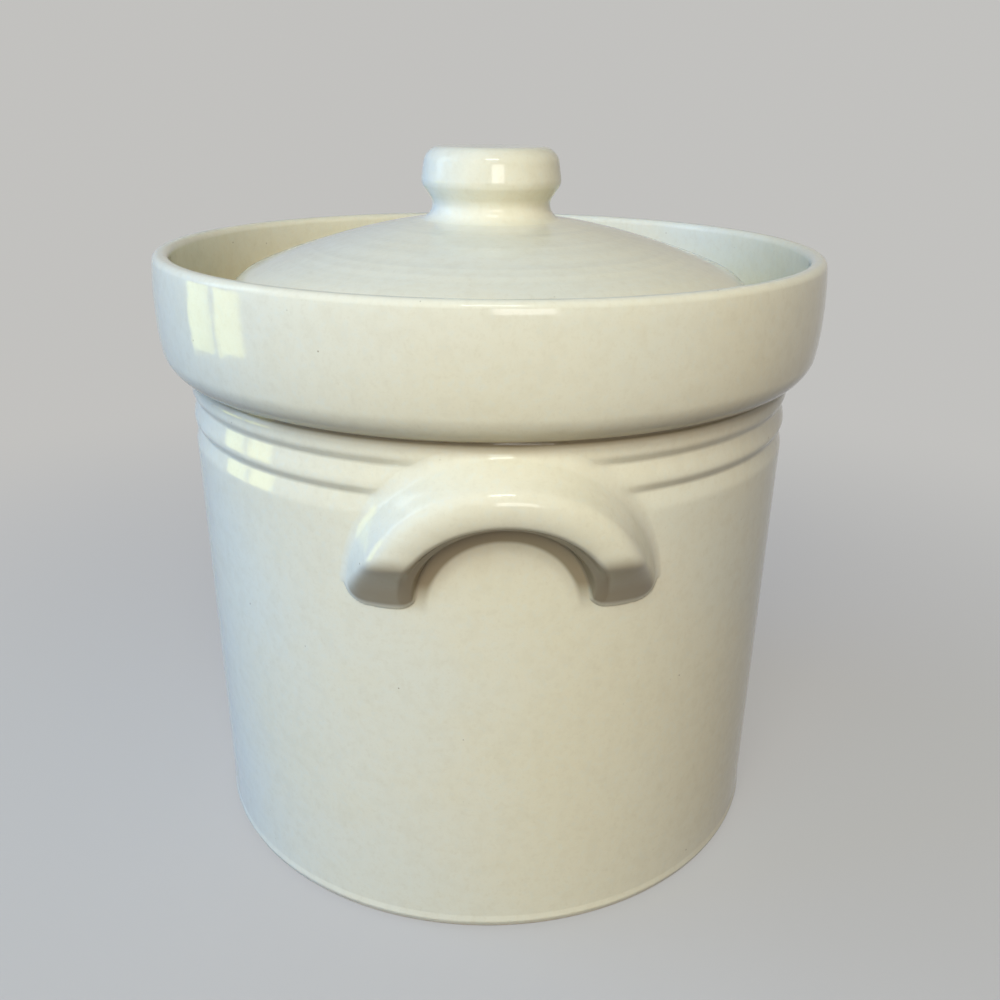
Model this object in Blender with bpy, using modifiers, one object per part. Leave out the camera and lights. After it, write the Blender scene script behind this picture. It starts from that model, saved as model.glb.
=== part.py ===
"""Storage canister: a stoneware pot with a deep collar, two horseshoe lugs, and a domed lid with a knob.

Units are metres and +Z is up. The origin is the middle of the foot, on the table, and the front lug faces -Y.
The lid drops inside the collar and rests on a ledge there, with a ring below it that keeps it in the mouth.
"""
import math

import bmesh
import bpy
from mathutils import Vector

# Pot: outer wall, floor and foot
HEIGHT = 0.1783
BODY_RADIUS = 0.0901
FOOT_RADIUS = 0.0890
WALL = 0.0066
FLOOR = 0.0085
FLOOR_ROUNDING = 0.0090
FOOT_ROUNDING = 0.0042
FOOT_RING_WIDTH = 0.0100
FOOT_RECESS = 0.0020
FOOT_EDGE_ROUNDING = 0.0006
INNER_SHOULDER_DROP = 0.0095
INNER_SHOULDER_ROUNDING = 0.0060

# Tooled bands under the collar: two grooves, each steep above and easy below
BAND_DROP = 0.0020
BAND_ROUNDING = 0.0016
GROOVE_DROPS = (0.0066, 0.0149)
GROOVE_DEPTH = 0.0012
GROOVE_RISE = 0.0019
GROOVE_RUN = 0.0048
GROOVE_ROUNDING = 0.0012
RUN_ROUNDING = 0.0060

# Collar, its gallery and the mouth
COLLAR_HEIGHT = 0.0335
COLLAR_RADIUS = 0.0986
COLLAR_ROUNDING = 0.0200
RIM_RADIUS = 0.0970
RIM_THICKNESS = 0.0046
RIM_ROUNDING = 0.0021
BELLY_DROP = 0.0128
HEEL_INSET = 0.0024
HEEL_RISE = 0.0016
HEEL_ROUNDING = 0.0095
CREASE_DEPTH = 0.0013
CREASE_ROUNDING = 0.0004
GALLERY_WALL = 0.0053
GALLERY_ROUNDING = 0.0080
LEDGE_RISE = 0.0077
LEDGE_THICKNESS = 0.0065
LEDGE_ROUNDING = 0.0014
THROAT_ROUNDING = 0.0022
MOUTH_RADIUS = 0.0730

# Lid: dome, edge and the ring that enters the mouth
LID_CLEARANCE = 0.0110
LID_EDGE = 0.0027
LID_EDGE_ROUNDING = 0.0015
LID_WALL = 0.0056
DOME_RADIUS = 0.1760
SHOULDER_ROUNDING = 0.0180
UNDERSIDE_REACH = 0.0600
UNDERSIDE_ROUNDING = 0.0060
RING_CLEARANCE = 0.0012
RING_DEPTH = 0.0075
RING_THICKNESS = 0.0050
RING_DRAFT = 0.0005
RING_ROUNDING = 0.0018
SEAT_ROUNDING = 0.0006

# Knob: flat top, sides that widen downwards, and a waist that flares into the dome
KNOB_HEIGHT = 0.0191
KNOB_RADIUS = 0.0207
KNOB_TOP_RADIUS = 0.0193
KNOB_TOP_ROUNDING = 0.0044
KNOB_SKIRT_HEIGHT = 0.0092
KNOB_SKIRT_ROUNDING = 0.0024
WAIST_RADIUS = 0.0172
WAIST_HEIGHT = 0.0042
WAIST_ROUNDING = 0.0040
FLARE_RADIUS = 0.0226
FLARE_ROUNDING = 0.0050
FLARE_LIP = 0.0004

# Lugs: half rings laid round the wall, hollow on their outer flank, with their leg ends scooped
LUG_OUTER_RADIUS = 0.0394
LUG_WIDTH = 0.0172
LUG_REACH = 0.0110
LUG_CROWN_DROP = 0.0033
LUG_OUTER_DRAFT = 0.0060
LUG_INNER_DRAFT = 0.0020
LUG_EDGE_DROP = 0.0022
LEG_LENGTH = 0.0022
SCOOP_HEIGHT = 0.0143
SCOOP_DEPTH = 0.0022

# Pieces that touch keep this much between their faces
GAP = 0.0003

# Facets
POT_STEPS = 52
KNOB_STEPS = 36
DOME_STEPS = 6
FLARE_STEPS = 3
LUG_STEPS = 16
LUG_COLUMNS = 3
LUG_ROWS = 2
ARC_STEP = math.radians(32)
SAME_POINT = 0.00002

NECK_HEIGHT = HEIGHT - COLLAR_HEIGHT
LEDGE_HEIGHT = NECK_HEIGHT + LEDGE_RISE
GALLERY_RADIUS = COLLAR_RADIUS - GALLERY_WALL - (COLLAR_RADIUS - RIM_RADIUS) / 2
LID_RADIUS = GALLERY_RADIUS - LID_CLEARANCE
LUG_CENTRE_HEIGHT = NECK_HEIGHT - LUG_CROWN_DROP - LUG_OUTER_RADIUS
TAPER_TOP = NECK_HEIGHT - GROOVE_DROPS[-1] - GROOVE_RUN

GLAZE = (0.72, 0.66, 0.50)
GLAZE_ROUGHNESS = 0.3


def rounded(corners):
    """Points of a path whose corners, each (x, y, rounding), are replaced by arcs."""
    path = []
    for index, (x, y, rounding) in enumerate(corners):
        corner = Vector((x, y))
        if rounding <= 0 or index in (0, len(corners) - 1):
            path.append(corner)
            continue
        last, following = corners[index - 1], corners[index + 1]
        back = Vector(last[:2]) - corner
        ahead = Vector(following[:2]) - corner
        turn = math.pi - back.angle(ahead)
        reach = min(rounding * math.tan(turn / 2),
                    back.length * rounding / (rounding + last[2]),
                    ahead.length * rounding / (rounding + following[2]))
        radius = reach / math.tan(turn / 2)
        middle = (back.normalized() + ahead.normalized()).normalized() * (radius / math.cos(turn / 2))
        spoke = back.normalized() * reach - middle
        side = math.copysign(1, back.cross(ahead))
        steps = math.ceil(turn / ARC_STEP)
        for step in range(steps + 1):
            angle = -side * turn * step / steps
            cos, sin = math.cos(angle), math.sin(angle)
            point = corner + middle + Vector((spoke.x * cos - spoke.y * sin, spoke.x * sin + spoke.y * cos))
            if (point - path[-1]).length > SAME_POINT:
                path.append(point)
    return path


def glaze(name):
    """Plain glazed clay, one material for each piece."""
    material = bpy.data.materials.new(name)
    material.use_nodes = True
    shader = material.node_tree.nodes["Principled BSDF"]
    shader.inputs["Base Color"].default_value = (*GLAZE, 1)
    shader.inputs["Roughness"].default_value = GLAZE_ROUGHNESS
    shader.inputs["Metallic"].default_value = 0
    return material


def add_object(name, mesh):
    """A named object in the canister's collection, with its own glaze."""
    item = bpy.data.objects.new(name, mesh)
    bpy.data.collections["storage_canister"].objects.link(item)
    mesh.materials.clear()
    mesh.materials.append(glaze(name))
    return item


def turned(name, outline, steps):
    """A turned piece: the outline, from axis to axis, carried round Z by a Screw modifier."""
    mesh = bpy.data.meshes.new(name)
    edges = [(i, i + 1) for i in range(len(outline) - 1)]
    mesh.from_pydata([(point.x, 0, point.y) for point in outline], edges, [])
    item = add_object(name, mesh)
    screw = item.modifiers.new("Turn", "SCREW")
    screw.axis = "Z"
    screw.angle = math.tau
    screw.steps = steps
    screw.render_steps = steps
    screw.use_merge_vertices = True
    screw.merge_threshold = SAME_POINT / 2
    screw.use_smooth_shade = True
    return item


def wall_radius(height):
    """Outer radius of the pot's wall, over the tooled grooves."""
    return FOOT_RADIUS + (BODY_RADIUS - FOOT_RADIUS) * min(max(height / TAPER_TOP, 0), 1)


def groove(drop):
    """Corners of one tooled groove, at its drop below the neck."""
    height = NECK_HEIGHT - drop
    return [(BODY_RADIUS, height + GROOVE_RISE, BAND_ROUNDING),
            (BODY_RADIUS - GROOVE_DEPTH, height, GROOVE_ROUNDING),
            (BODY_RADIUS, height - GROOVE_RUN, RUN_ROUNDING)]


def body_outline():
    """The pot's section, from the floor inside, over the rim and down to the foot."""
    inner_top = BODY_RADIUS - WALL
    throat = LEDGE_HEIGHT - LEDGE_THICKNESS
    belly = HEIGHT - BELLY_DROP
    foot_inner = FOOT_RADIUS - FOOT_ROUNDING - FOOT_RING_WIDTH
    corners = [(0, FLOOR, 0),
               (FOOT_RADIUS - WALL, FLOOR, FLOOR_ROUNDING),
               (inner_top, throat - INNER_SHOULDER_DROP, INNER_SHOULDER_ROUNDING),
               (MOUTH_RADIUS, throat, THROAT_ROUNDING),
               (MOUTH_RADIUS, LEDGE_HEIGHT, LEDGE_ROUNDING),
               (GALLERY_RADIUS, LEDGE_HEIGHT, GALLERY_ROUNDING),
               (GALLERY_RADIUS, belly, COLLAR_ROUNDING),
               (RIM_RADIUS - RIM_THICKNESS, HEIGHT, RIM_ROUNDING),
               (RIM_RADIUS, HEIGHT, RIM_ROUNDING),
               (COLLAR_RADIUS, belly, COLLAR_ROUNDING),
               (COLLAR_RADIUS - HEEL_INSET, NECK_HEIGHT + HEEL_RISE, HEEL_ROUNDING),
               (BODY_RADIUS - CREASE_DEPTH, NECK_HEIGHT, CREASE_ROUNDING),
               (BODY_RADIUS, NECK_HEIGHT - BAND_DROP, BAND_ROUNDING)]
    for drop in GROOVE_DROPS:
        corners += groove(drop)
    corners += [(FOOT_RADIUS, 0, FOOT_ROUNDING),
                (foot_inner, 0, FOOT_EDGE_ROUNDING),
                (foot_inner - FOOT_RECESS / 2, FOOT_RECESS, FOOT_EDGE_ROUNDING),
                (0, FOOT_RECESS, 0)]
    return rounded(corners)


def dome_drop(radius, dome=DOME_RADIUS):
    """How far a dome lies below its crown at a radius."""
    return dome - math.sqrt(dome ** 2 - radius ** 2)


# The dome meets the shoulder's rounding, and both are tangent there
DOME_REACH = (LID_RADIUS - SHOULDER_ROUNDING) / (1 - SHOULDER_ROUNDING / DOME_RADIUS)
DOME_SLOPE = math.asin(DOME_REACH / DOME_RADIUS)
CROWN_HEIGHT = LID_EDGE + SHOULDER_ROUNDING * math.cos(DOME_SLOPE) + dome_drop(DOME_REACH)


def lid_outline():
    """The lid's section, with its seat at height zero."""
    ring_outer = MOUTH_RADIUS - RING_CLEARANCE
    ring_inner = ring_outer - RING_THICKNESS
    underside = CROWN_HEIGHT - LID_WALL
    inner_dome = DOME_RADIUS - LID_WALL
    ring_root = underside - dome_drop(UNDERSIDE_REACH, inner_dome)
    ring_root -= (ring_inner - UNDERSIDE_REACH) * math.tan(DOME_SLOPE)
    tangent = CROWN_HEIGHT - dome_drop(DOME_REACH) - (LID_RADIUS - DOME_REACH) * math.tan(DOME_SLOPE)
    over = [DOME_REACH * i / DOME_STEPS for i in range(DOME_STEPS)]
    under = [UNDERSIDE_REACH * i / DOME_STEPS for i in range(DOME_STEPS, -1, -1)]
    corners = [(radius, CROWN_HEIGHT - dome_drop(radius), 0) for radius in over]
    corners += [(LID_RADIUS, tangent, SHOULDER_ROUNDING),
                (LID_RADIUS, 0, LID_EDGE_ROUNDING),
                (ring_outer, 0, SEAT_ROUNDING),
                (ring_outer - RING_DRAFT, -RING_DEPTH, RING_ROUNDING),
                (ring_inner + RING_DRAFT, -RING_DEPTH, RING_ROUNDING),
                (ring_inner, ring_root, UNDERSIDE_ROUNDING)]
    corners += [(radius, underside - dome_drop(radius, inner_dome), 0) for radius in under]
    return rounded(corners)


def knob_outline():
    """The knob's section, with the dome's crown at height zero."""
    corners = [(0, KNOB_HEIGHT, 0),
               (KNOB_TOP_RADIUS, KNOB_HEIGHT, KNOB_TOP_ROUNDING),
               (KNOB_RADIUS, KNOB_SKIRT_HEIGHT, KNOB_SKIRT_ROUNDING),
               (WAIST_RADIUS, WAIST_HEIGHT, WAIST_ROUNDING),
               (WAIST_RADIUS + FLARE_LIP, GAP + FLARE_LIP - dome_drop(WAIST_RADIUS), FLARE_ROUNDING),
               (FLARE_RADIUS, GAP + FLARE_LIP - dome_drop(FLARE_RADIUS), 0)]
    under = [FLARE_RADIUS * i / FLARE_STEPS for i in range(FLARE_STEPS, -1, -1)]
    corners += [(radius, GAP - dome_drop(radius), 0) for radius in under]
    return rounded(corners)


def lug_section(across, off):
    """A point of the lug's section: its radius from the arch's centre, and its depth off the wall.

    Both shares run from 0 to 1: across goes from the inner side to the outer one, and off goes outwards.
    The outer flank is hollow: it leaves the wall at a slant and steepens.
    """
    inner = LUG_OUTER_RADIUS - LUG_WIDTH + LUG_INNER_DRAFT * off
    outer = LUG_OUTER_RADIUS - LUG_OUTER_DRAFT * (1 - (1 - off) ** 2)
    from_middle = 2 * across - 1
    depth = GAP + (LUG_REACH - GAP - LUG_EDGE_DROP * from_middle ** 2) * off
    return inner + (outer - inner) * across, depth


def leg_sweep(radius, depth):
    """Angle from the crown to the leg's end, which rises as the scoop comes off the wall."""
    share = depth / LUG_REACH
    height = SCOOP_HEIGHT * share + SCOOP_DEPTH * math.sin(math.pi * share) - LEG_LENGTH
    return math.pi / 2 - math.asin(height / radius)


def lay_round_wall(point):
    """A point of the flat half ring, with its leg ends scooped, moved on to the wall."""
    radius = math.hypot(point.x, point.z)
    depth = -point.y
    turn = math.atan2(point.x, point.z) / (math.pi / 2)
    angle = turn * leg_sweep(radius, depth)
    height = LUG_CENTRE_HEIGHT + radius * math.cos(angle)
    round_wall = radius * math.sin(angle) / BODY_RADIUS
    reach = wall_radius(height) + depth
    return reach * math.sin(round_wall), -reach * math.cos(round_wall), height


def lug_mesh():
    """The cage of a lug: its section spun through a half turn and laid round the wall."""
    bm = bmesh.new()
    bmesh.ops.create_grid(bm, x_segments=LUG_COLUMNS, y_segments=LUG_ROWS, size=0.5)
    for vert in bm.verts:
        radius, depth = lug_section(vert.co.x + 0.5, vert.co.y + 0.5)
        vert.co = (radius, -depth, 0)
    bmesh.ops.spin(bm, geom=[*bm.faces, *bm.edges, *bm.verts], cent=(0, 0, 0), axis=(0, 1, 0),
                   angle=-math.pi, steps=LUG_STEPS, use_merge=False, use_duplicate=False)
    crease = bm.edges.layers.float.new("crease_edge")
    for edge in bm.edges:
        if all(-vert.co.y < GAP + SAME_POINT for vert in edge.verts):
            edge[crease] = 1
    for vert in bm.verts:
        vert.co = lay_round_wall(vert.co)
    bmesh.ops.recalc_face_normals(bm, faces=bm.faces)
    mesh = bpy.data.meshes.new("lug")
    bm.to_mesh(mesh)
    bm.free()
    mesh.shade_smooth()
    return mesh


def add_lug(name, turn):
    """A lug at an angle round the pot, its cage rounded off by subdivision."""
    item = add_object(name, lug_mesh())
    item.rotation_euler.z = turn
    soft = item.modifiers.new("Soft", "SUBSURF")
    soft.levels = 1
    soft.render_levels = 1


def main():
    for item in list(bpy.data.objects):
        bpy.data.objects.remove(item)
    parts = bpy.data.collections.new("storage_canister")
    bpy.context.scene.collection.children.link(parts)

    turned("canister_body", body_outline(), POT_STEPS)
    add_lug("handle_front", 0)
    add_lug("handle_back", math.pi)

    lid = turned("lid", lid_outline(), POT_STEPS)
    lid.location.z = LEDGE_HEIGHT + GAP
    knob = turned("lid_knob", knob_outline(), KNOB_STEPS)
    knob.parent = lid
    knob.location.z = CROWN_HEIGHT


main()
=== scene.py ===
# %% [markdown]
# # A stoneware canister under a cream glaze
#
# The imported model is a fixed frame: it says where the pot, its lugs and its lid are, and how the lid lifts.
# This lesson dresses that frame. The pot and the lid are turned again with fine steps, the lugs are melted
# into the wall as wet clay is, and one glaze covers them all.

# %% Load the frame
import math

import bmesh
import bpy
import numpy as np
from mathutils import Matrix, Vector


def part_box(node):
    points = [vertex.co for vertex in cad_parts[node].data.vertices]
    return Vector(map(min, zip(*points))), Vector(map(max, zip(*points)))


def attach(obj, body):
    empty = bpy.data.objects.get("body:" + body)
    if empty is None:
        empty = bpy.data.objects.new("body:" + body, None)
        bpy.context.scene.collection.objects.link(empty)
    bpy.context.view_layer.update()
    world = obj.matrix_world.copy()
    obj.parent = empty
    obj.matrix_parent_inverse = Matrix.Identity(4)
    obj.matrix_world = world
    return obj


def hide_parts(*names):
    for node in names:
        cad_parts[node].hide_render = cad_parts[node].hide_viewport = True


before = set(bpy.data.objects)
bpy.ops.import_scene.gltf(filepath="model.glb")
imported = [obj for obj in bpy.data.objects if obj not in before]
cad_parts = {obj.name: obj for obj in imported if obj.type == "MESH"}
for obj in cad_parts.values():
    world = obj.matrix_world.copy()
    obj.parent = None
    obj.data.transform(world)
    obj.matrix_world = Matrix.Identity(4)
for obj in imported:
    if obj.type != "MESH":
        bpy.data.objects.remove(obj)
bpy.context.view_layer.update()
scene = bpy.context.scene
MM = 0.001

# %% [markdown]
# ## The camera
#
# The pot was seen from close by, a little above its rim, with a wide lens: the walls seem to lean in
# towards the foot. A camera far away with a long lens would straighten them, so distance, height and tilt
# are the ones that make the drawn pot and the real one agree. The lug points a little to one side of the
# lens, so the camera stands a few degrees round from the front.

# %% Stand the camera where the pot was seen from
CAMERA_DISTANCE = 308.2 * MM
CAMERA_HEIGHT = 216.2 * MM
CAMERA_ROUND = 0.0411
CAMERA_PITCH, CAMERA_YAW, CAMERA_ROLL = 0.3737, 0.0117, 0.0116
FILM, LENS = 36.0, 36.0

ahead = Vector((math.sin(CAMERA_YAW) * math.cos(CAMERA_PITCH), math.cos(CAMERA_YAW) * math.cos(CAMERA_PITCH),
                -math.sin(CAMERA_PITCH)))
level = Vector((math.cos(CAMERA_YAW), -math.sin(CAMERA_YAW), 0))
tilt = Matrix.Rotation(CAMERA_ROLL, 3, -ahead)
axes = Matrix((tilt @ level, tilt @ level.cross(ahead), -ahead)).transposed().to_4x4()

camera = bpy.data.objects.new("camera", bpy.data.cameras.new("camera"))
scene.collection.objects.link(camera)
camera.matrix_world = (Matrix.Rotation(-CAMERA_ROUND, 4, "Z")
                       @ Matrix.Translation((0, -CAMERA_DISTANCE, CAMERA_HEIGHT)) @ axes)
camera.data.sensor_width = FILM
camera.data.lens = LENS
scene.camera = camera
print("camera at", [round(value, 4) for value in camera.matrix_world.translation])

# %% [markdown]
# ## Shader maths as plain arithmetic
#
# A glaze is a handful of patterns added and multiplied. Wiring Math nodes by hand hides that, so a small
# class wraps a socket: `1 - mask` or `mask * 0.3` then adds the nodes by itself, and one method makes any
# other node.

# %% A socket that can be added and multiplied
class Wire:
    """A shader socket in its node tree."""

    def __init__(self, tree, socket=None):
        self.tree, self.socket = tree, socket

    def node(self, kind, inputs=None, settings=None, output=0):
        """Any node: its settings first, then its sockets, each a value or another wire."""
        node = self.tree.nodes.new(kind)
        for key, value in (settings or {}).items():
            setattr(node, key, value)
        for key, value in (inputs or {}).items():
            if isinstance(value, Wire):
                self.tree.links.new(value.socket, node.inputs[key])
            else:
                node.inputs[key].default_value = value
        return Wire(self.tree, node.outputs[output] if node.outputs else None)

    def math(self, operation, *others):
        """A Math node on this value and others."""
        return self.node("ShaderNodeMath", dict(enumerate((self, *others))), {"operation": operation})

    def flipped(self, operation, other):
        """A Math node with the other value first, for a number that stands before a wire."""
        return self.node("ShaderNodeMath", {0: other, 1: self}, {"operation": operation})

    def __add__(self, other):
        return self.math("ADD", other)

    def __radd__(self, other):
        return self.flipped("ADD", other)

    def __sub__(self, other):
        return self.math("SUBTRACT", other)

    def __rsub__(self, other):
        return self.flipped("SUBTRACT", other)

    def __mul__(self, other):
        return self.math("MULTIPLY", other)

    def __rmul__(self, other):
        return self.flipped("MULTIPLY", other)

    def between(self, low, high):
        """0 below low, 1 above high and an easy curve between them."""
        return self.node("ShaderNodeMapRange", {"Value": self, "From Min": low, "From Max": high},
                         {"interpolation_type": "SMOOTHSTEP"})

    def mix(self, first, second):
        """The first colour where this is 0, the second where it is 1 and a blend of both between."""
        return self.node("ShaderNodeMix", {"Factor": self, "A": first, "B": second}, {"data_type": "RGBA"}, 2)


def material(name):
    """An empty material, and a wire in its tree to start from."""
    made = bpy.data.materials.new(name)
    made.use_nodes = True
    made.node_tree.nodes.clear()
    return made, Wire(made.node_tree)


print("shader maths ready")

# %% [markdown]
# ## The glaze: its patterns
#
# The real glaze is a soft cream with a half gloss. Close up it isn't one colour: it drifts between warm and
# cool over a hand's width, it is blotched and mottled like paper, and here and there an iron speck or a
# pinhole shows. A painted image would need a seam and would blur close up. Noise on Object coordinates does
# neither, and since pot, lugs and lid share it, it runs on from one to the next.

# %% Spread the patterns
# waves to the metre, and how much finer noise is added to them
DRIFT, CLOUD, BLOTCH, MOTTLE, GRAIN = (14, 1.5), (70, 2.5), (250, 2.0), (620, 3.0), (1900, 1.0)
# cells to the metre, the radius of a dot, and the share of cells that have one
IRON_SPECKS, PINHOLES = (120, 0.32 * MM, 0.45), (150, 0.22 * MM, 0.40)
SPECK_CORE = 0.5
FULLY_CHOSEN = 0.6


def pattern(start, place, waves, detail):
    """Noise around 0.5."""
    return start.node("ShaderNodeTexNoise", {"Vector": place, "Scale": waves, "Detail": detail})


def specks(start, place, cells, radius, share):
    """Round dots, each in a cell of its own, in a share of the cells."""
    cell = {"Vector": place, "Scale": cells, "Randomness": 1.0}
    distance = start.node("ShaderNodeTexVoronoi", cell, {"voronoi_dimensions": "3D"}, 0)
    colour = start.node("ShaderNodeTexVoronoi", cell, {"voronoi_dimensions": "3D"}, 1)
    pick = start.node("ShaderNodeSeparateColor", {"Color": colour})
    chosen = pick.between(1 - share, 1 - share * FULLY_CHOSEN)
    return (1 - distance.between(radius * cells * SPECK_CORE, radius * cells)) * chosen


glaze, start = material("cream_glaze")
place = start.node("ShaderNodeTexCoord", output=3)
height = start.node("ShaderNodeSeparateXYZ", {"Vector": place}, output=2)

drift = pattern(start, place, *DRIFT)
cloud = pattern(start, place, *CLOUD)
blotch = pattern(start, place, *BLOTCH)
mottle = pattern(start, place, *MOTTLE)
grain = pattern(start, place, *GRAIN)
iron = specks(start, place, *IRON_SPECKS)
pinholes = specks(start, place, *PINHOLES)
print("nodes of the patterns:", len(glaze.node_tree.nodes))

# %% [markdown]
# ## The glaze: painted shade
#
# Shade is painted into the colour as a dark brown where it falls: in the neck under the collar, on the wall
# close under a lug, on a lug's inner side and in the scooped ends of its legs. Painting those places by hand
# would be one way. They follow the shape, though, so each is worked out from the height, from the distance to
# the axis, and from the distance to the middle of the lug, measured along the wall. A pair of limits, in
# millimetres, says where each one fades in or out.

# %% Find the places where shade is painted
WALL_RADIUS = 90.1
LUG_MIDDLE = 102.1 * MM
SHADE_DROP = 1.2 * MM
WIDE_SHADE, WIDE_SHARE, CLOSE_SHADE = (15.0, 19.0), 0.25, (18.2, 20.0)
LUG_BELLY, LUG_INSIDE = (23.2, 26.2), (24.2, 25.2)
SHADE_HEIGHTS, SOFFIT_HEIGHTS = (98, 112), (106, 114)
PROUD_OF_WALL, OUTSIDE = (90.6, 91.6), (86.6, 87.4)
SCOOP_SLOPE, SCOOP_START, SCOOP_FADE = 0.77, 1.0 * MM, (0.4, 4.4)
NECK_RISE, NECK_FALL = (140.5, 144.0), (145.0, 150.0)
CREASE_RISE, CREASE_FALL = (143.2, 144.2), (144.6, 146.0)
# how much painted shade each place gets, and the most that any point gets
UNDER_ARCH_SHARE, SOFFIT_SHARE, SCOOP_SHARE, NECK_SHARE, CREASE_SHARE = 0.90, 0.66, 0.80, 0.60, 0.60
MOST_PAINTED_SHADE = 0.9


def past(value, limits):
    """0 below a pair of limits in millimetres and 1 above it."""
    low, high = limits
    return value.between(low * MM, high * MM)


def diagonal(first, second):
    """The distance that two distances at a right angle to each other make."""
    return (first * first + second * second).math("SQRT")


across, along = [start.node("ShaderNodeSeparateXYZ", {"Vector": place}, output=end).math("ABSOLUTE")
                 for end in (0, 1)]
radius = diagonal(across, along)
side = across.math("ARCTAN2", along) * (WALL_RADIUS * MM)
up = height - LUG_MIDDLE
from_lug, from_shade = diagonal(side, up), diagonal(side, up + SHADE_DROP)
proud = past(radius, PROUD_OF_WALL)

# painted shadow on the wall under the arch, its middle dropped a little below the lug's middle
shadow_under_arch = past(from_shade, WIDE_SHADE) * WIDE_SHARE + past(from_shade, CLOSE_SHADE)
shadow_under_arch = shadow_under_arch * past(height, SHADE_HEIGHTS) * (1 - past(from_lug, LUG_BELLY))
# painted shade on the lug's inner side, where it stands off the wall
soffit_shade = (1 - past(from_lug, LUG_INSIDE)) * proud * past(height, SOFFIT_HEIGHTS)
# painted shade in the scooped ends of the legs
over_scoop = up * SCOOP_SLOPE + SCOOP_START - (radius - WALL_RADIUS * MM)
scooped = (1 - past(over_scoop, SCOOP_FADE)) * proud
# painted shade in the neck and in the crease under the collar
neck = past(height, NECK_RISE) * (1 - past(height, NECK_FALL))
crease = past(height, CREASE_RISE) * (1 - past(height, CREASE_FALL))

# all the painted shade together, capped, and kept to the outside of the pot
painted_shade = shadow_under_arch * UNDER_ARCH_SHARE + soffit_shade * SOFFIT_SHARE + scooped * SCOOP_SHARE
painted_shade = painted_shade + neck * NECK_SHARE + crease * CREASE_SHARE
painted_shade = painted_shade.math("MINIMUM", MOST_PAINTED_SHADE) * past(radius, OUTSIDE)
print("nodes with the places:", len(glaze.node_tree.nodes))

# %% [markdown]
# ## The glaze: its colour
#
# One colour ramp could turn a pattern into colours, but then every pattern would need its own. Here the
# patterns are laid over the cream one after the other, as thin washes. Each wash has the value at which it
# begins to show, the value at which it is full, and its share there. The foot ring is wiped clean before the
# firing, so the last wash is the bare clay of its lowest millimetre.

# %% Lay the washes
CREAM = (0.80, 0.76, 0.583, 1)
WARM_CREAM = (0.80, 0.735, 0.52, 1)
COOL_CREAM = (0.76, 0.765, 0.64, 1)
DULL_CREAM = (0.66, 0.60, 0.42, 1)
# the dark brown of the painted shade
PAINTED_SHADE_COLOUR = (0.27, 0.21, 0.115, 1)
IRON = (0.30, 0.22, 0.11, 1)
BARE_CLAY = (0.62, 0.50, 0.37, 1)
WARM_DRIFT, COOL_DRIFT, WARM_CLOUD = (0.50, 0.68, 0.55), (0.52, 0.34, 0.45), (0.52, 0.70, 0.25)
PALE_MOTTLE, DULL_MOTTLE = (0.50, 0.72, 0.34), (0.48, 0.28, 0.17)
DULL_BLOTCH, DULL_GRAIN = (0.58, 0.30, 0.15), (0.45, 0.25, 0.14)
IRON_STRENGTH, PINHOLE_STRENGTH = 0.75, 0.35
WIPED = (0.5, 1.1)


def wash(noise, limits):
    """The share of a wash, from where its pattern begins to show to where it is full."""
    begins, full, share = limits
    return noise.between(begins, full) * share


bare = 1 - past(height, WIPED)
colour = wash(drift, WARM_DRIFT).mix(CREAM, WARM_CREAM)
colour = wash(drift, COOL_DRIFT).mix(colour, COOL_CREAM)
colour = wash(cloud, WARM_CLOUD).mix(colour, WARM_CREAM)
colour = wash(mottle, PALE_MOTTLE).mix(colour, COOL_CREAM)
colour = wash(blotch, DULL_BLOTCH).mix(colour, DULL_CREAM)
colour = (wash(mottle, DULL_MOTTLE) + wash(grain, DULL_GRAIN)).mix(colour, DULL_CREAM)
# painted shade: the dark brown laid over the cream under the collar and the lugs
colour = painted_shade.mix(colour, PAINTED_SHADE_COLOUR)
colour = (iron * IRON_STRENGTH + pinholes * PINHOLE_STRENGTH).mix(colour, IRON)
colour = bare.mix(colour, BARE_CLAY)
print("nodes with the washes:", len(glaze.node_tree.nodes))

# %% [markdown]
# ## The glaze: its skin
#
# A fired glaze is never quite flat, so a light mirrored in it has soft, wavy edges. The same patterns push
# the surface in and out by a few hundredths of a millimetre. Throwing leaves rings all the way round, and on
# the dome of the lid they are broad bands: noise that knows only the height and the distance to the axis
# gives both. The mesh could carry this relief only with millions of faces, so a Bump node does.

# %% Raise the skin and give it its gloss
CLOUD_RELIEF, BLOTCH_RELIEF, MOTTLE_RELIEF, GRAIN_RELIEF = 0.090 * MM, 0.030 * MM, 0.014 * MM, 0.005 * MM
RING_RELIEF, BAND_RELIEF, PINHOLE_DEPTH = 0.070 * MM, 0.600 * MM, 0.080 * MM
RINGS, BANDS, UPWARD_SHARE = (330, 2.0), (115, 1.5), 0.5
DOME_HEIGHTS, DOME_EDGE = (158, 166), (78, 83)
GLAZE_ROUGHNESS, CLAY_ROUGHNESS, GLAZE_IOR = 0.08, 0.85, 1.45
MOTTLE_ROUGHNESS, CLOUD_ROUGHNESS = 0.06, 0.08

turned = start.node("ShaderNodeCombineXYZ", {"X": radius, "Y": height * UPWARD_SHARE})
rings = pattern(start, turned, *RINGS) - 0.5
dome = past(height, DOME_HEIGHTS) * (1 - past(radius, DOME_EDGE))
bands = (pattern(start, turned, *BANDS) - 0.5) * dome

skin = (mottle - 0.5) * MOTTLE_RELIEF + (cloud - 0.5) * CLOUD_RELIEF + (grain - 0.5) * GRAIN_RELIEF
skin = skin + (blotch - 0.5) * BLOTCH_RELIEF - pinholes * PINHOLE_DEPTH
skin = skin + rings * RING_RELIEF + bands * BAND_RELIEF
bump = start.node("ShaderNodeBump", {"Strength": 1.0, "Distance": 1.0, "Height": skin})

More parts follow.
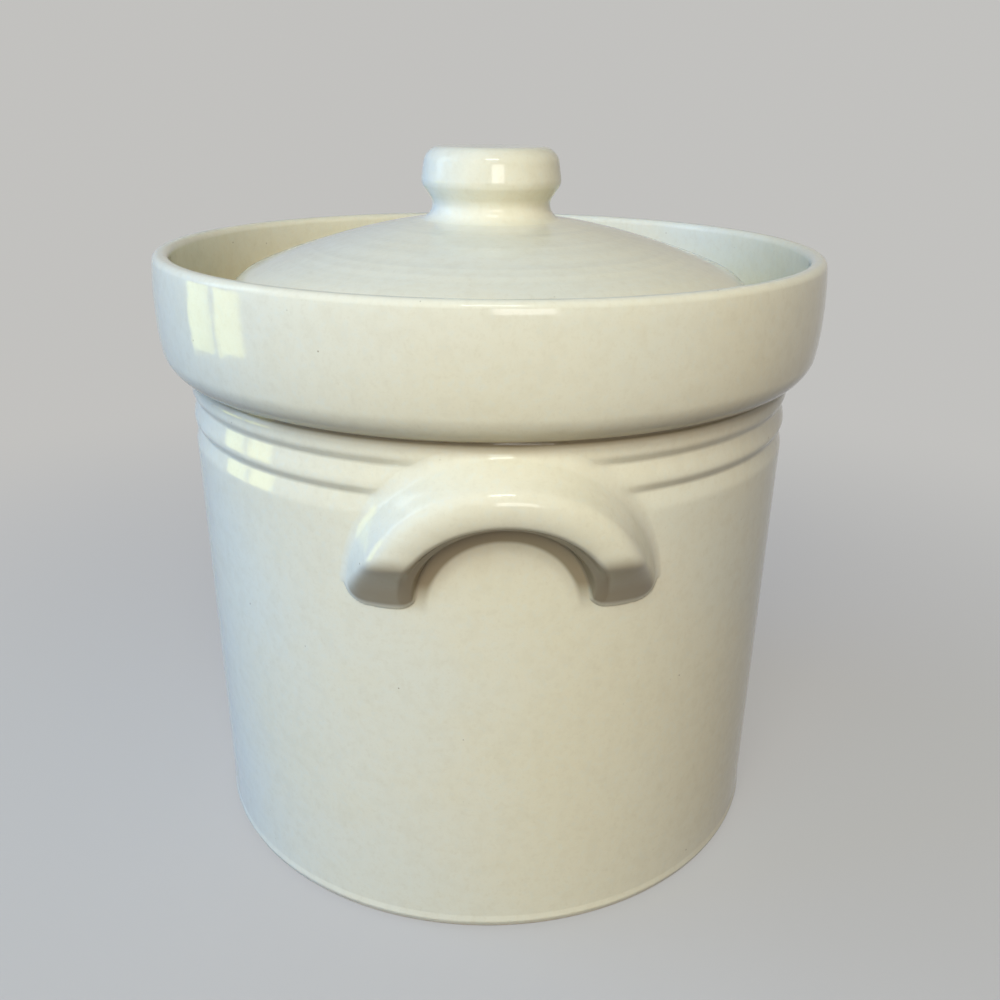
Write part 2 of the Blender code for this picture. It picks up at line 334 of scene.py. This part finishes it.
roughness = GLAZE_ROUGHNESS + (mottle - 0.5) * MOTTLE_ROUGHNESS + (cloud - 0.5) * CLOUD_ROUGHNESS
roughness = roughness + bare * (CLAY_ROUGHNESS - GLAZE_ROUGHNESS)
shader = start.node("ShaderNodeBsdfPrincipled", {"Base Color": colour, "Roughness": roughness, "Normal": bump,
                                                 "IOR": GLAZE_IOR})
start.node("ShaderNodeOutputMaterial", {"Surface": shader})
print("glaze nodes:", len(glaze.node_tree.nodes))

# %% [markdown]
# ## A section with rounded corners
#
# Everything made on a wheel is a section carried round an axis. A section could be a long list of points,
# but nobody could read the shape in it. This one is a few corners joined by edges, and every corner is
# rounded with a vertex bevel: on a bare wire that cuts a true arc. Then the stretches between the arcs are
# divided, the short ones finely, because the grooves are pushed about later, the long plain ones coarsely.

# %% Draw a section
FACET = math.radians(5)
LEAST_SEGMENTS = 3
SPACING, CLOSE_SPACING = 2.0 * MM, 1.6 * MM
LONG_EDGE, LONG_SPACING = 20 * MM, 4.5 * MM
WELD = 0.005 * MM


def section(corners, spacing=SPACING):
    """A wire through corners, each (across, up, rounding) in millimetres, with the corners rounded."""
    wire = bmesh.new()
    verts = [wire.verts.new((across * MM, 0, up * MM)) for across, up, _ in corners]
    for pair in zip(verts, verts[1:]):
        wire.edges.new(pair)
    for vert, (_, _, rounding) in zip(verts, corners):
        if not rounding:
            continue
        legs = [edge.other_vert(vert).co - vert.co for edge in vert.link_edges]
        turn = math.pi - legs[0].angle(legs[1])
        by_length = round(rounding * MM * turn / spacing)
        bmesh.ops.bevel(wire, geom=[vert], offset=rounding * MM * math.tan(turn / 2), offset_type="OFFSET",
                        affect="VERTICES", profile=0.5, material=-1, clamp_overlap=True,
                        segments=max(LEAST_SEGMENTS, round(turn / FACET), by_length))
    bmesh.ops.remove_doubles(wire, verts=wire.verts, dist=WELD)
    for edge in list(wire.edges):
        length = edge.calc_length()
        cuts = int(length / (spacing if length < LONG_EDGE else LONG_SPACING))
        if cuts:
            bmesh.ops.subdivide_edges(wire, edges=[edge], cuts=cuts)
    return wire


print("facets of about", round(math.degrees(FACET), 1), "degrees, or finer")

# %% [markdown]
# ## Carry a section round, and finish a piece
#
# One spin through the full circle is slow on a section of hundreds of points. A wedge is spun instead, and
# what is there is copied and turned, which doubles it until the circle is full. A finished mesh then has its
# doubles merged and its faces turned outwards. On a thin, bent shape Blender can pick the wrong way out, and
# a negative volume gives that away. The piece rides on a moving body and stands for the solids it hides.

# %% Carry round and finish
WEDGES, WEDGE_STEPS = 16, 16


def carry_round(wire):
    """The wire spun once round the upright axis: one wedge first, then copies of it all the way round."""
    bmesh.ops.spin(wire, geom=[*wire.verts, *wire.edges], cent=(0, 0, 0), axis=(0, 0, 1),
                   angle=math.tau / WEDGES, steps=WEDGE_STEPS, use_merge=False, use_duplicate=False)
    made = 1
    while made < WEDGES:
        copy = bmesh.ops.duplicate(wire, geom=[*wire.verts, *wire.edges, *wire.faces])["geom"]
        bmesh.ops.rotate(wire, cent=(0, 0, 0), matrix=Matrix.Rotation(math.tau * made / WEDGES, 3, "Z"),
                         verts=[part for part in copy if isinstance(part, bmesh.types.BMVert)])
        made *= 2
    bmesh.ops.remove_doubles(wire, verts=wire.verts, dist=WELD)


def finish_piece(name, shape, body, *nodes):
    """The finished mesh as an object that rides on a body and stands for CAD nodes."""
    bmesh.ops.remove_doubles(shape, verts=shape.verts, dist=WELD)
    bmesh.ops.recalc_face_normals(shape, faces=shape.faces)
    if shape.calc_volume(signed=True) < 0:
        bmesh.ops.reverse_faces(shape, faces=shape.faces)
    for face in shape.faces:
        face.smooth = True
    mesh = bpy.data.meshes.new(name)
    shape.to_mesh(mesh)
    shape.free()
    mesh.materials.append(glaze)
    piece = bpy.data.objects.new(name, mesh)
    scene.collection.objects.link(piece)
    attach(piece, body)
    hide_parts(*nodes)
    print(name, "faces:", len(mesh.polygons))


print("wedges of", round(math.degrees(math.tau / WEDGES / WEDGE_STEPS), 2), "degrees a step")

# %% [markdown]
# ## The pot: its section
#
# The real pot is one wall: a floor, a side that tapers slightly to the foot, two tooled grooves, and a deep
# collar that swells a little and hides the ledge for the lid. The plain solid could be bevelled, but its
# facets would stay, and its collar is one long curve. So the section is drawn again: from the middle of the
# floor, up the inside, over the ledge and the lip, down the outside and round the foot with its small bead.

# %% Draw the pot's section
FOOT_RADIUS, FOOT_INSIDE, FOOT_SLOPE, FOOT_RECESS = 89.0, 74.8, 1.0, 2.0
BEAD_TOP, BEAD_HOLLOW, BEAD_MIDDLE, BEAD_SWELL, BEAD_UNDERCUT = 4.2, 0.2, 2.3, 0.1, 0.8
FLOOR_TOP, INSIDE_BOTTOM, INSIDE_TOP, INSIDE_HEIGHT = 8.5, 82.4, 83.5, 136.5
LEDGE_INSIDE, LEDGE_UNDER, LEDGE_TOP = 73.0, 146.0, 152.5
COLLAR_INSIDE, LIP_INSIDE, LIP_OUTSIDE, LIP_TOP, LIP_ROUNDING = 92.5, 92.4, 97.0, 178.3, 2.1
SWELL_RADIUS, SWELL_HEIGHT, COLLAR_UNDER = 98.75, 165.5, 96.2
NECK, NECK_RADIUS, BAND_TOP = 144.3, 88.8, 142.4
GROOVES = (137.5, 129.4)
GROOVE_DEPTH, GROOVE_RISE, GROOVE_RUN = 1.2, 2.1, 4.7
TAPER_TOP = GROOVES[-1] - GROOVE_RUN
OUTER_WALL = 86.5 * MM

pot_corners = [(0, FLOOR_TOP, 0), (INSIDE_BOTTOM, FLOOR_TOP, 9), (INSIDE_TOP, INSIDE_HEIGHT, 6),
               (LEDGE_INSIDE, LEDGE_UNDER, 2.2), (LEDGE_INSIDE, LEDGE_TOP, 1.4),
               (COLLAR_INSIDE, LEDGE_TOP, 8), (COLLAR_INSIDE, SWELL_HEIGHT, 20),
               (LIP_INSIDE, LIP_TOP, LIP_ROUNDING), (LIP_OUTSIDE, LIP_TOP, LIP_ROUNDING),
               (SWELL_RADIUS, SWELL_HEIGHT, 90), (COLLAR_UNDER, LEDGE_UNDER, 9.5),
               (NECK_RADIUS, NECK, 0.5), (WALL_RADIUS, BAND_TOP, 1.6)]
for groove in GROOVES:
    pot_corners += [(WALL_RADIUS, groove + GROOVE_RISE, 2.4), (WALL_RADIUS - GROOVE_DEPTH, groove, 1.4),
                    (WALL_RADIUS, groove - GROOVE_RUN, 6.0)]
pot_corners += [(FOOT_RADIUS - BEAD_HOLLOW, BEAD_TOP, 2.0), (FOOT_RADIUS + BEAD_SWELL, BEAD_MIDDLE, 1.4),
                (FOOT_RADIUS - BEAD_UNDERCUT, 0, 1.2), (FOOT_INSIDE, 0, 0.6),
                (FOOT_INSIDE - FOOT_SLOPE, FOOT_RECESS, 0.6), (0, FOOT_RECESS, 0)]

pot = section(pot_corners)
outer = sorted((vert.co.z, vert.co.x) for vert in pot.verts
               if vert.co.x > OUTER_WALL and vert.co.z < NECK * MM)
wall_heights, wall_radii = np.array(outer).T
print("pot section points:", len(pot.verts), "of which outer wall:", len(outer))

# %% [markdown]
# ## The pot: its grooves stop beside the lugs
#
# The potter smoothed the grooves away where the lugs went on. They could be cut short with a boolean, but
# their ends would be blunt. Here the wall is eased back out to the plain taper instead. A lug is a half ring
# in the flat, so the distance from its middle says how near a point of the wall is to it. The wall's radius
# is then a function of that distance and of the height, and both the pot and the lugs use it.

# %% Ease the grooves out and turn the pot
LUG_RADIUS = 39.4 * MM
GROOVE_FADE = 6 * MM


def ease(low, high, value):
    """0 below low, 1 above high and an easy curve between them."""
    share = min(max((value - low) / (high - low), 0), 1)
    return share * share * (3 - 2 * share)


def plain_radius(height):
    """The wall's radius with no grooves in it."""
    share = min(max(height / (TAPER_TOP * MM), 0), 1)
    return (FOOT_RADIUS + (WALL_RADIUS - FOOT_RADIUS) * share) * MM


def wall_radius(side, height):
    """The wall's radius at a height, and at a distance to one side of a lug's middle."""
    grooved = float(np.interp(height, wall_heights, wall_radii))
    if not TAPER_TOP * MM < height < BAND_TOP * MM:
        return grooved
    away = ease(LUG_RADIUS, LUG_RADIUS + GROOVE_FADE, math.hypot(side, height - LUG_MIDDLE))
    plain = plain_radius(height)
    return plain + (grooved - plain) * away


carry_round(pot)
for vert in pot.verts:
    radius = math.hypot(vert.co.x, vert.co.y)
    if radius > OUTER_WALL and TAPER_TOP * MM < vert.co.z < BAND_TOP * MM:
        angle = math.atan2(abs(vert.co.x), abs(vert.co.y))
        grown = wall_radius(angle * WALL_RADIUS * MM, vert.co.z) / radius
        vert.co.x *= grown
        vert.co.y *= grown
finish_piece("pot", pot, "canister", "canister_body")

# %% [markdown]
# ## The lugs: half rings in the flat
#
# Each lug is a thick half ring, pressed on to the wall with its legs down and smoothed in with a wet finger:
# its crown runs out of the top band with no edge at all, its sides are drafted, and the ends of its legs are
# scooped. It could be a bent bar joined on with a boolean, but that leaves a hard seam. Instead its section
# is drawn on a flat wall: the hollow fillet of its outer side, the crest, then the steep inner side with a
# small step. Both ends lie just under the surface. It is spun through a little more than a quarter turn and
# mirrored. Each corner is a distance from the lug's middle, a distance off the wall and a rounding.

# %% Draw and spin a lug in the flat
LUG_SWEEP = math.radians(104)
LUG_STEPS = 150
LUG_SPACING = 0.8 * MM
UNDER = 0.03

lug_fillet = [(44.5, -UNDER, 0), (40.3, -UNDER, 5.5), (36.0, 5.5, 14.0)]
lug_crest = [(33.2, 9.7, 4.6), (28.6, 10.95, 8.0), (24.9, 9.5, 2.2)]
lug_inside = [(24.1, 6.6, 0.7), (22.7, 4.9, 0.8), (21.9, -UNDER, 0.8), (19.8, -UNDER, 0)]

lug = section(lug_fillet + lug_crest + lug_inside, CLOSE_SPACING)
for edge in [edge for edge in lug.edges if edge.calc_length() > LUG_SPACING]:
    bmesh.ops.subdivide_edges(lug, edges=[edge], cuts=1)
stand_up = Matrix.Rotation(-math.pi / 2, 4, "Y") @ Matrix.Rotation(math.pi / 2, 4, "X")
bmesh.ops.transform(lug, matrix=stand_up, verts=lug.verts)
bmesh.ops.spin(lug, geom=[*lug.verts, *lug.edges], cent=(0, 0, 0), axis=(0, 1, 0), angle=LUG_SWEEP,
               steps=LUG_STEPS, use_merge=False, use_duplicate=False)
bmesh.ops.mirror(lug, geom=[*lug.verts, *lug.edges, *lug.faces], axis="X", merge_dist=WELD)
print("lug in the flat:", len(lug.faces), "faces, x from", min(vert.co.x for vert in lug.verts))

# %% [markdown]
# ## The lugs: scooped legs
#
# The scoop at the end of a leg is cut in depth: at each height the leg may stand off the wall only so far.
# Taking the smaller of two depths would leave a knife edge, so a soft minimum rounds it as a finger would,
# and the steeper the scoop, the wider it rounds. Towards both sides of the leg the cut comes up sooner, which
# rounds the leg's corners. Each point is then laid round the pot: its distance to one side becomes a turn
# about the axis, and its depth is added to the wall's own radius.

# %% Say where a point of the flat lug goes
LUG_REACH, LUG_INNER = 10.8, 22.2
LEG_LENGTH, SCOOP_HEIGHT, SCOOP_DEPTH, LEG_LIP = 1.3, 13.0, 2.8, 1.0
SCOOP_END, SCOOP_POINTS = 2, 90
BELOW_LEG = (1.6, 0.8)
CORNER_RISE, CORNER_POWER, CORNER_LIMIT = 2.4, 4, 1.2
LEAST_SOFTNESS, MORE_SOFTNESS = 0.7, 2.3

scoop_shares = np.linspace(0, SCOOP_END, SCOOP_POINTS)
hollow = SCOOP_DEPTH * np.sin(np.pi * np.minimum(scoop_shares, 1))
scoop_heights = SCOOP_HEIGHT * scoop_shares + hollow - LEG_LENGTH
scoop_depths = LEG_LIP + (LUG_REACH - LEG_LIP) * scoop_shares
scoop_heights = np.concatenate(([-LEG_LENGTH - below for below in BELOW_LEG], scoop_heights))
scoop_depths = np.concatenate(([-UNDER for _ in BELOW_LEG], scoop_depths))
scoop_slants = np.hypot(1, np.gradient(scoop_depths, scoop_heights))


def soft_least(first, second, softness):
    """The lesser of two values, with the corner between them rounded."""
    share = min(max(0.5 + (second - first) / (2 * softness), 0), 1)
    return second + (first - second) * share - softness * share * (1 - share)


def lay_on_wall(point):
    """A point of the flat lug, scooped and laid round the pot."""
    around = math.hypot(point.x, point.z)
    angle = math.atan2(point.x, point.z)
    depth = -point.y
    off = max(depth, 0) / (LUG_REACH * MM)
    across = (around / MM - LUG_INNER) / (LUG_RADIUS / MM - LUG_INNER)
    up = around * math.cos(angle)
    if up < SCOOP_END * SCOOP_HEIGHT * MM:
        lift = CORNER_RISE * min(abs(2 * across - 1), CORNER_LIMIT) ** CORNER_POWER
        cut = float(np.interp(up / MM - lift, scoop_heights, scoop_depths)) * MM
        slant = float(np.interp(up / MM - lift, scoop_heights, scoop_slants))
        softness = (LEAST_SOFTNESS + MORE_SOFTNESS * off) * slant * MM
        depth = max(soft_least(depth, cut, softness), -UNDER * MM)
    side = around * math.sin(angle)
    height = LUG_MIDDLE + up
    reach = wall_radius(side, height) + depth
    turn = side / (WALL_RADIUS * MM)
    return Vector((reach * math.sin(turn), -reach * math.cos(turn), height))


print("scoop from", scoop_heights[0], "to", round(float(scoop_heights[-1]), 1), "mm, steepest slant",
      round(float(scoop_slants.max()), 1))

# %% [markdown]
# ## The lugs: on the wall
#
# Once a lug is laid round the pot, its legs are rubbed smooth. A wet finger evens out the edges of the scoop
# most and leaves the crown alone, and many small smoothings do the same, each reaching a little less high
# than the one before. The lug is still an open skin, so its rim is sunk into the wall and closed there with a
# sole. It has to lie deep: a sole near the surface would show through in the grooves and in the neck.

# %% Lay, smooth and close the lugs
SMOOTHINGS, SMOOTHING_SHARE = 40, 0.5
LEG_TOP, LEG_TOP_DROP = 20 * MM, 0.5
OFF_WALL = 0.9 * MM
SOLE_DEPTH = 2.6

legs = []
for vert in lug.verts:
    vert.co = lay_on_wall(vert.co)
    off_wall = math.hypot(vert.co.x, vert.co.y) > plain_radius(vert.co.z) + OFF_WALL
    if off_wall and vert.co.z < LUG_MIDDLE + LEG_TOP:
        legs.append(vert)
for turn in range(SMOOTHINGS):
    top = LUG_MIDDLE + LEG_TOP * (1 - LEG_TOP_DROP * turn / SMOOTHINGS)
    bmesh.ops.smooth_vert(lug, verts=[vert for vert in legs if vert.co.z < top], factor=SMOOTHING_SHARE,
                          use_axis_x=True, use_axis_y=True, use_axis_z=True)

sunk = bmesh.ops.extrude_edge_only(lug, edges=[edge for edge in lug.edges if edge.is_boundary])["geom"]
sunk_share = 1 - SOLE_DEPTH / WALL_RADIUS
bmesh.ops.scale(lug, vec=(sunk_share, sunk_share, 1),
                verts=[part for part in sunk if isinstance(part, bmesh.types.BMVert)])
rim = [edge for edge in lug.edges if edge.is_boundary]
sole = bmesh.ops.holes_fill(lug, edges=rim, sides=0)["faces"]
sole = bmesh.ops.triangulate(lug, faces=sole, quad_method="BEAUTY", ngon_method="BEAUTY")["faces"]
middles = [sum((vert.co for vert in edge.verts), Vector()) / 2 for face in sole for edge in face.edges]
deepest = min(middle.xy.length for middle in middles)
print("sole faces:", len(sole), "deepest inside the wall:", round(WALL_RADIUS - deepest / MM, 2), "mm")

back_lug = lug.copy()
bmesh.ops.rotate(back_lug, cent=(0, 0, 0), matrix=Matrix.Rotation(math.pi, 3, "Z"), verts=back_lug.verts)
finish_piece("lug_front", lug, "canister", "handle_front")
finish_piece("lug_back", back_lug, "canister", "handle_back")

# %% [markdown]
# ## The lid: one section with its knob
#
# Knob and dome were joined while wet, and under the glaze they are one skin: a flat-topped knob, a waist,
# and a flare that runs out into the dome. Two solids pushed into each other would show a hard line there, so
# both are one section. The lid's width and the heights of its crown and knob come from the frame. The dome is
# a large arc, and a vertex bevel can cut it too: its corner is where the tangents at the arc's ends meet.

# %% Draw the lid's section
lid_radius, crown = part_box("lid")[1].x / MM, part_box("lid")[1].z / MM
knob_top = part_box("lid_knob")[1].z / MM
KNOB_TOP_RADIUS, KNOB_RADIUS, WAIST_RADIUS = 19.2, 20.75, 17.3
KNOB_BELLY, WAIST_RISE = 9.0, 4.0
SEAT = 152.8
DOME, INNER_DOME = 176.0, 170.4
SHOULDER, FLARE_START, FLARE_END = 18.0, 17.8, 23.5
RING_OUTER, RING_INNER, RING_BOTTOM, RING_ROOT, RING_DRAFT = 71.8, 66.8, 145.3, 167.4, 0.5
UNDERSIDE_REACH = 60.0


def arc_corner(dome, centre, first, last):
    """The corner whose rounding is the arc of a dome between two distances from the axis."""
    start, end = math.asin(first / dome), math.asin(last / dome)
    far = dome / math.cos((end - start) / 2)
    middle = (start + end) / 2
    return far * math.sin(middle), centre + far * math.cos(middle), dome


dome_centre = crown - DOME
dome_reach = (lid_radius - SHOULDER) / (1 - SHOULDER / DOME)
slope = math.asin(dome_reach / DOME)
shoulder_top = dome_centre + DOME * math.cos(slope) - (lid_radius - dome_reach) * math.tan(slope)
flare_slope = math.asin(FLARE_END / DOME)
flare_height = dome_centre + DOME * math.cos(flare_slope) + (FLARE_END - FLARE_START) * math.tan(flare_slope)
underside = crown - DOME + INNER_DOME

lid_corners = [(0, knob_top, 0), (KNOB_TOP_RADIUS, knob_top, 5.0), (KNOB_RADIUS, crown + KNOB_BELLY, 3.4),
               (WAIST_RADIUS, crown + WAIST_RISE, 3.6), (FLARE_START, flare_height, 4.5),
               arc_corner(DOME, dome_centre, FLARE_END, dome_reach), (lid_radius, shoulder_top, SHOULDER),
               (lid_radius, SEAT, 1.5), (RING_OUTER, SEAT, 0.6), (RING_OUTER - RING_DRAFT, RING_BOTTOM, 1.8),
               (RING_INNER + RING_DRAFT, RING_BOTTOM, 1.8), (RING_INNER, RING_ROOT, 6),
               arc_corner(INNER_DOME, dome_centre, UNDERSIDE_REACH, 0), (0, underside, 0)]
print("crown at", round(crown, 2), "shoulder at", round(shoulder_top, 2))

# %% [markdown]
# ## The lid: turned
#
# The lid is turned as the pot was. It could be two pieces, as in the frame, but knob and dome never part. So
# one piece stands for both solids. It rides on the lid's own body, and lifts off when that body slides up.

# %% Turn the lid
lid = section(lid_corners)
carry_round(lid)
finish_piece("lid_and_knob", lid, "lid", "lid", "lid_knob")

# %% [markdown]
# ## The stage: the floor's finish
#
# A plain pale floor keeps the eye on the pot. Near the pot it is a real surface that takes its shadow, and
# far away it turns into one even tone, so it has no edge. A curved backdrop could hide the edge too, but it
# would be mirrored in the glaze. For light that bounces off it on to the pot, the floor is much darker, so
# that the undersides of the collar and the lugs keep their depth.

# %% Mix the floor's finish
PALE = (0.54, 0.535, 0.52, 1)
BOUNCE = (0.04, 0.03, 0.02, 1)
NEAR, FAR = 0.10, 0.50
EVEN_SHARE = 0.55


def seen_rays(start):
    """1 for the rays that show the background: the camera's own, and what glaze mirrors or glass lets by."""
    rays = start.node("ShaderNodeLightPath").socket.node.outputs
    straight, mirrored, through = [Wire(start.tree, rays[f"Is {kind} Ray"])
                                   for kind in ("Camera", "Glossy", "Transmission")]
    return straight.math("MAXIMUM", mirrored).math("MAXIMUM", through)


floor_finish, start = material("pale_floor")
place = start.node("ShaderNodeTexCoord", output=3)
distance = start.node("ShaderNodeVectorMath", {"Vector": place}, {"operation": "LENGTH"}, 1)
seen = seen_rays(start)
lit = start.node("ShaderNodeBsdfDiffuse", {"Color": seen.mix(BOUNCE, PALE)})
even = start.node("ShaderNodeEmission", {"Color": PALE, "Strength": 1.0})
share = EVEN_SHARE + distance.between(NEAR, FAR) * (1 - EVEN_SHARE)
surface = start.node("ShaderNodeMixShader", {0: share * seen, 1: lit, 2: even})
start.node("ShaderNodeOutputMaterial", {"Surface": surface})
print("floor nodes:", len(floor_finish.node_tree.nodes))

# %% [markdown]
# ## The stage: the floor
#
# The floor is one large square under the foot. It could be as small as the picture shows, but it is mirrored
# low down in the glaze as well, and there it should run on to the horizon.

# %% Lay the floor
FLOOR_SIZE = 12.0

ground = bmesh.new()
bmesh.ops.create_grid(ground, x_segments=1, y_segments=1, size=FLOOR_SIZE / 2)
floor_mesh = bpy.data.meshes.new("floor")
ground.to_mesh(floor_mesh)
ground.free()
floor_mesh.materials.append(floor_finish)
floor = bpy.data.objects.new("floor", floor_mesh)
scene.collection.objects.link(floor)
print("floor laid,", FLOOR_SIZE, "m across")

# %% [markdown]
# ## The light: soft panels
#
# The real pot has a cool sheen down its left side, a warm front, and two small bright marks mirrored one
# beside the other in its collar. One big lamp could be as bright, but it would mirror as one large patch. So
# the light is a handful of soft panels, each given by its direction from the pot and by how bright its face
# is, because that is what the glaze mirrors. A lamp's energy is spread over its face, so the face's area
# turns the brightness into the energy.

# %% Make a panel
LOOK_AT = Vector((0, 0, 0.11))


def panel(name, where, width, height, brightness, colour, target=LOOK_AT, mirrored=True):
    """A soft panel of light facing the pot, as bright as said at its face."""
    lamp = bpy.data.lights.new(name, "AREA")
    lamp.shape = "RECTANGLE"
    lamp.size, lamp.size_y = width, height
    lamp.energy = brightness * math.pi * width * height
    lamp.color = colour
    hung = bpy.data.objects.new(name, lamp)
    scene.collection.objects.link(hung)
    hung.location = where
    hung.rotation_euler = (Vector(target) - Vector(where)).to_track_quat("-Z", "Y").to_euler()
    hung.visible_camera = False
    hung.visible_glossy = mirrored


def around(azimuth, elevation, distance):
    """A place seen from the pot: azimuth runs from the front towards the right."""
    azimuth, elevation = math.radians(azimuth), math.radians(elevation)
    flat = math.cos(elevation) * distance
    across, back = math.sin(azimuth) * flat, -math.cos(azimuth) * flat
    return LOOK_AT + Vector((across, back, math.sin(elevation) * distance))


print("panels face", tuple(round(value, 3) for value in LOOK_AT))

# %% [markdown]
# ## The light: where each panel hangs
#
# The front gets a warm panel and, further left, a cool one, and the left side a deep blue one. They are
# broad and only light the pot: if they were mirrored too, their edges would show in the glaze. Smaller
# panels are mirrored in it and give it its shine. Two weak fills, behind and to the right, keep the far sides
# readable when the pot is looked at from there.

# %% Hang the panels
PANELS = (
    # name, (azimuth, elevation, distance), width, height, brightness, colour, mirrored in the glaze
    ("overhead", (0, 55, 1.5), 0.42, 0.20, 10.5, (0.90, 1.0, 0.93), True),
    ("front", (8, 13, 1.6), 0.55, 0.44, 5.4, (1.0, 0.98, 0.93), True),
    ("warm_front", (-10, 36, 1.15), 0.70, 0.60, 7.0, (1.0, 0.84, 0.74), False),
    ("cool_front", (-30, 36, 1.15), 0.70, 0.60, 2.6, (0.22, 0.74, 1.0), False),
    ("left", (-94, 13, 1.4), 1.2, 1.1, 4.0, (0.02, 0.25, 1.0), False),
    ("left_sheen", (-99, 27, 1.4), 0.42, 0.85, 1.8, (0.62, 0.86, 1.0), True),
    ("back_fill", (195, 4, 1.6), 1.2, 0.8, 2.0, (1.0, 0.93, 0.80), False),
    ("right_fill", (144, 6, 1.6), 0.90, 0.70, 1.8, (1.0, 0.97, 0.90), False),
)

for name, direction, width, tall, brightness, tone, mirrored in PANELS:
    panel(name, around(*direction), width, tall, brightness, tone, mirrored=mirrored)
print("panels:", len(PANELS))

# %% [markdown]
# ## The light: the two bright marks
#
# The marks in the collar are upright and sharp, so their panels are small and hang close by on the left, one
# nearer the front than the other. Spots of paint on the glaze would stay where they are when the camera
# moves. A mirrored panel wanders with it, and follows the swell of the collar.

# %% Hang the two small panels
MARKS = (
    # name, distance behind the pot's middle, brightness
    ("mark_front", -0.045, 3.1),
    ("mark_back", 0.065, 2.3),
)
MARK_ACROSS, MARK_HEIGHT = -0.445, 0.1205
MARK_WIDTH, MARK_TALL = 0.092, 0.130
MARK_COLOUR = (0.97, 1.0, 0.25)
MARK_AIM = Vector((-0.068, -0.07, 0.15))
MARK_AIM_SHARE = 0.2

for name, behind, brightness in MARKS:
    aim = MARK_AIM + Vector((0, behind * MARK_AIM_SHARE, 0))
    panel(name, (MARK_ACROSS, behind, MARK_HEIGHT), MARK_WIDTH, MARK_TALL, brightness, MARK_COLOUR, aim)

# %% [markdown]
# ## The light: the world
#
# The world does two jobs. For the rays that light the pot it is very dim, so that the panels give it its
# form. For the rays that are seen, straight or mirrored, it has the floor's own pale tone, so that the
# horizon disappears. One even, bright world would be simpler, but would leave the pot flat.

# %% Set the world
DIM_COLOUR, DIM_STRENGTH = (0.93, 0.94, 1.0, 1), 0.03

world = bpy.data.worlds.new("pale_surroundings")
scene.world = world
world.use_nodes = True
world.node_tree.nodes.clear()
start = Wire(world.node_tree)
dim = start.node("ShaderNodeBackground", {"Color": DIM_COLOUR, "Strength": DIM_STRENGTH})
pale = start.node("ShaderNodeBackground", {"Color": PALE, "Strength": 1.0})
both = start.node("ShaderNodeMixShader", {0: seen_rays(start), 1: dim, 2: pale})
start.node("ShaderNodeOutputWorld", {"Surface": both})
scene.view_settings.view_transform = "Standard"
print("world nodes:", len(world.node_tree.nodes))
